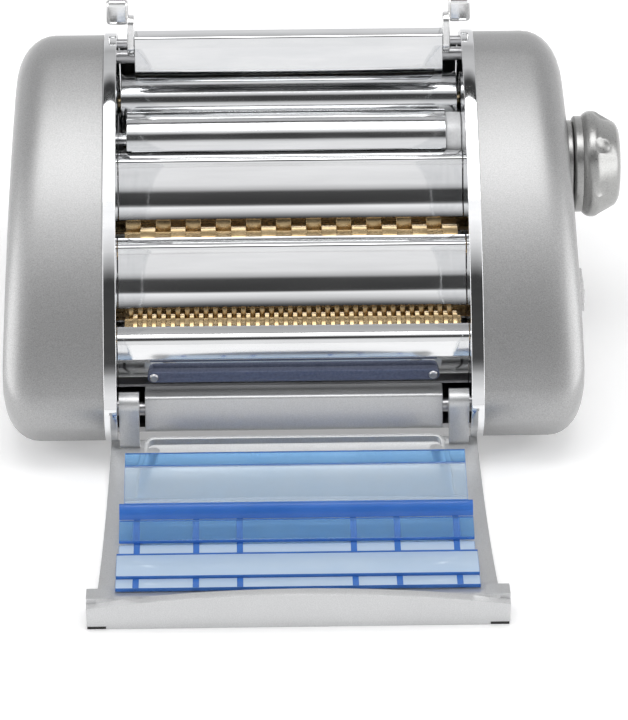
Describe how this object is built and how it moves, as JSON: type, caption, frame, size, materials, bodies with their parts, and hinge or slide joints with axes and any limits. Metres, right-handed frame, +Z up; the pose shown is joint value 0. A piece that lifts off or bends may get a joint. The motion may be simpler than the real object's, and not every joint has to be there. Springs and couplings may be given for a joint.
{
  "type": "pasta roller machine",
  "caption": "Countertop pasta roller machine with a smooth roller pair, two cutter pairs, thickness knob, feed flap and an open front door.",
  "frame": {"origin": "on the table plane, under the middle of the overall box with the door open", "axes": "+X to the machine's right, +Y to its back, +Z up"},
  "size_m": [0.2654, 0.2774, 0.1324],
  "materials": {
    "black_plastic": "matte",
    "brass": "polished",
    "bushing_white": "satin",
    "casing_paint": "satin",
    "chrome": "polished",
    "clear_blue": "transparent",
    "dark_blue": "satin",
    "door_paint": "satin",
    "gear_plastic": "matte",
    "knob_silver": "satin",
    "rubber": "matte",
    "steel": "brushed",
    "switch_white": "gloss"
  },
  "bodies": {
    "body": {"side_frame_left": "chrome", "side_frame_right": "chrome", "rail_left": "chrome", "rail_right": "chrome", "casing_left": "casing_paint", "casing_right": "casing_paint", "base_plate": "steel", "rear_cover": "chrome", "front_apron": "door_paint", "exit_bar": "dark_blue", "exit_bar_screws": "steel", "upper_guide_plate": "chrome", "middle_guide_plate": "chrome", "lower_guide_plate": "chrome", "inner_chute": "steel", "coarse_comb_front": "steel", "coarse_comb_rear": "steel", "fine_comb_front": "steel", "fine_comb_rear": "steel", "smooth_scrapers": "steel", "frame_bushes": "brass", "tie_rods": "steel", "tie_rod_nuts": "steel", "idler_axles": "steel", "hinge_pins": "steel", "flap_pivot_pins": "steel", "rubber_feet": "rubber", "casing_posts": "steel", "motor": "black_plastic", "motor_cradle": "steel", "switch_housing": "black_plastic", "cord_inlet": "black_plastic", "knob_bearing": "knob_silver"},
    "smooth_rear": {"smooth_roller_rear": "chrome", "smooth_rear_gear": "steel"},
    "smooth_front": {"smooth_roller_front": "chrome", "smooth_front_gear": "steel"},
    "coarse_rear": {"coarse_cutter_rear": "brass", "coarse_rear_gear": "steel"},
    "coarse_front": {"coarse_cutter_front": "brass", "coarse_front_gear": "steel"},
    "fine_rear": {"fine_cutter_rear": "brass", "fine_rear_gear": "steel"},
    "fine_front": {"fine_cutter_front": "brass", "fine_front_gear": "steel"},
    "upper_idler": {"idler_gear_upper": "gear_plastic"},
    "lower_idler": {"idler_gear_lower": "gear_plastic"},
    "motor_output": {"motor_pinion": "steel"},
    "carriage": {"bearing_block_left": "steel", "bearing_block_right": "steel", "roller_bushing": "bushing_white"},
    "regulator": {"regulator_shaft": "steel"},
    "knob": {"thickness_knob": "knob_silver"},
    "flap": {"feed_flap": "chrome", "feed_flap_tabs": "chrome"},
    "door": {"front_door": "door_paint", "pasta_slide": "clear_blue", "door_pads": "rubber"},
    "rocker": {"power_rocker": "switch_white"}
  },
  "joints": [
    {"name": "smooth_rear_turn", "type": "hinge", "parent": "body", "child": "smooth_rear", "pos_m": [-0.00962, 0.11694, 0.079], "axis": [1, 0, 0], "continuous": true},
    {"name": "roller_gap", "type": "slide", "parent": "body", "child": "carriage", "axis": [0, 1, 0], "range_m": [0, 0.00201]},
    {"name": "smooth_front_turn", "type": "hinge", "parent": "carriage", "child": "smooth_front", "pos_m": [-0.00962, 0.08865, 0.079], "axis": [1, 0, 0], "continuous": true},
    {"name": "coarse_rear_turn", "type": "hinge", "parent": "body", "child": "coarse_rear", "pos_m": [-0.00962, 0.06085, 0.0545], "axis": [1, 0, 0], "continuous": true},
    {"name": "coarse_front_turn", "type": "hinge", "parent": "body", "child": "coarse_front", "pos_m": [-0.00962, 0.04244, 0.0545], "axis": [1, 0, 0], "continuous": true},
    {"name": "fine_rear_turn", "type": "hinge", "parent": "body", "child": "fine_rear", "pos_m": [-0.00962, 0.02084, 0.0385], "axis": [1, 0, 0], "continuous": true},
    {"name": "fine_front_turn", "type": "hinge", "parent": "body", "child": "fine_front", "pos_m": [-0.00962, 0.00245, 0.0385], "axis": [1, 0, 0], "continuous": true},
    {"name": "upper_idler_turn", "type": "hinge", "parent": "body", "child": "upper_idler", "pos_m": [-0.00962, 0.09004, 0.05622], "axis": [1, 0, 0], "continuous": true},
    {"name": "lower_idler_turn", "type": "hinge", "parent": "body", "child": "lower_idler", "pos_m": [-0.00962, 0.04689, 0.03139], "axis": [1, 0, 0], "continuous": true},
    {"name": "motor_turn", "type": "hinge", "parent": "body", "child": "motor_output", "pos_m": [-0.00962, 0.10467, 0.03089], "axis": [1, 0, 0], "continuous": true},
    {"name": "regulator_turn", "type": "hinge", "parent": "body", "child": "regulator", "pos_m": [-0.00962, 0.07144, 0.077], "axis": [1, 0, 0], "range_deg": [0, 150]},
    {"name": "knob_pull", "type": "slide", "parent": "regulator", "child": "knob", "axis": [1, 0, 0], "range_m": [0, 0.004]},
    {"name": "flap_swing", "type": "hinge", "parent": "body", "child": "flap", "pos_m": [-0.00962, 0.11744, 0.111], "axis": [1, 0, 0], "range_deg": [-70, 0]},
    {"name": "door_swing", "type": "hinge", "parent": "body", "child": "door", "pos_m": [-0.00962, -0.02616, 0.0249], "axis": [1, 0, 0], "range_deg": [-138.5, 0]},
    {"name": "switch_rock", "type": "hinge", "parent": "body", "child": "rocker", "pos_m": [0.10957, 0.02739, 0.04193], "axis": [-0.028, -0.0006, 0.9996], "range_deg": [-12, 0]}
  ],
  "couplings": [
    {"joint": "smooth_front_turn", "follows": "smooth_rear_turn", "ratio": -1},
    {"joint": "upper_idler_turn", "follows": "smooth_rear_turn", "ratio": -0.74074},
    {"joint": "motor_turn", "follows": "smooth_rear_turn", "ratio": 1.6667},
    {"joint": "coarse_rear_turn", "follows": "smooth_rear_turn", "ratio": 1.6667},
    {"joint": "coarse_front_turn", "follows": "smooth_rear_turn", "ratio": -1.6667},
    {"joint": "lower_idler_turn", "follows": "smooth_rear_turn", "ratio": -0.83333},
    {"joint": "fine_rear_turn", "follows": "smooth_rear_turn", "ratio": 1.6667},
    {"joint": "fine_front_turn", "follows": "smooth_rear_turn", "ratio": -1.6667},
    {"joint": "regulator_turn", "follows": "roller_gap", "rad_per_m": 1303}
  ]
}
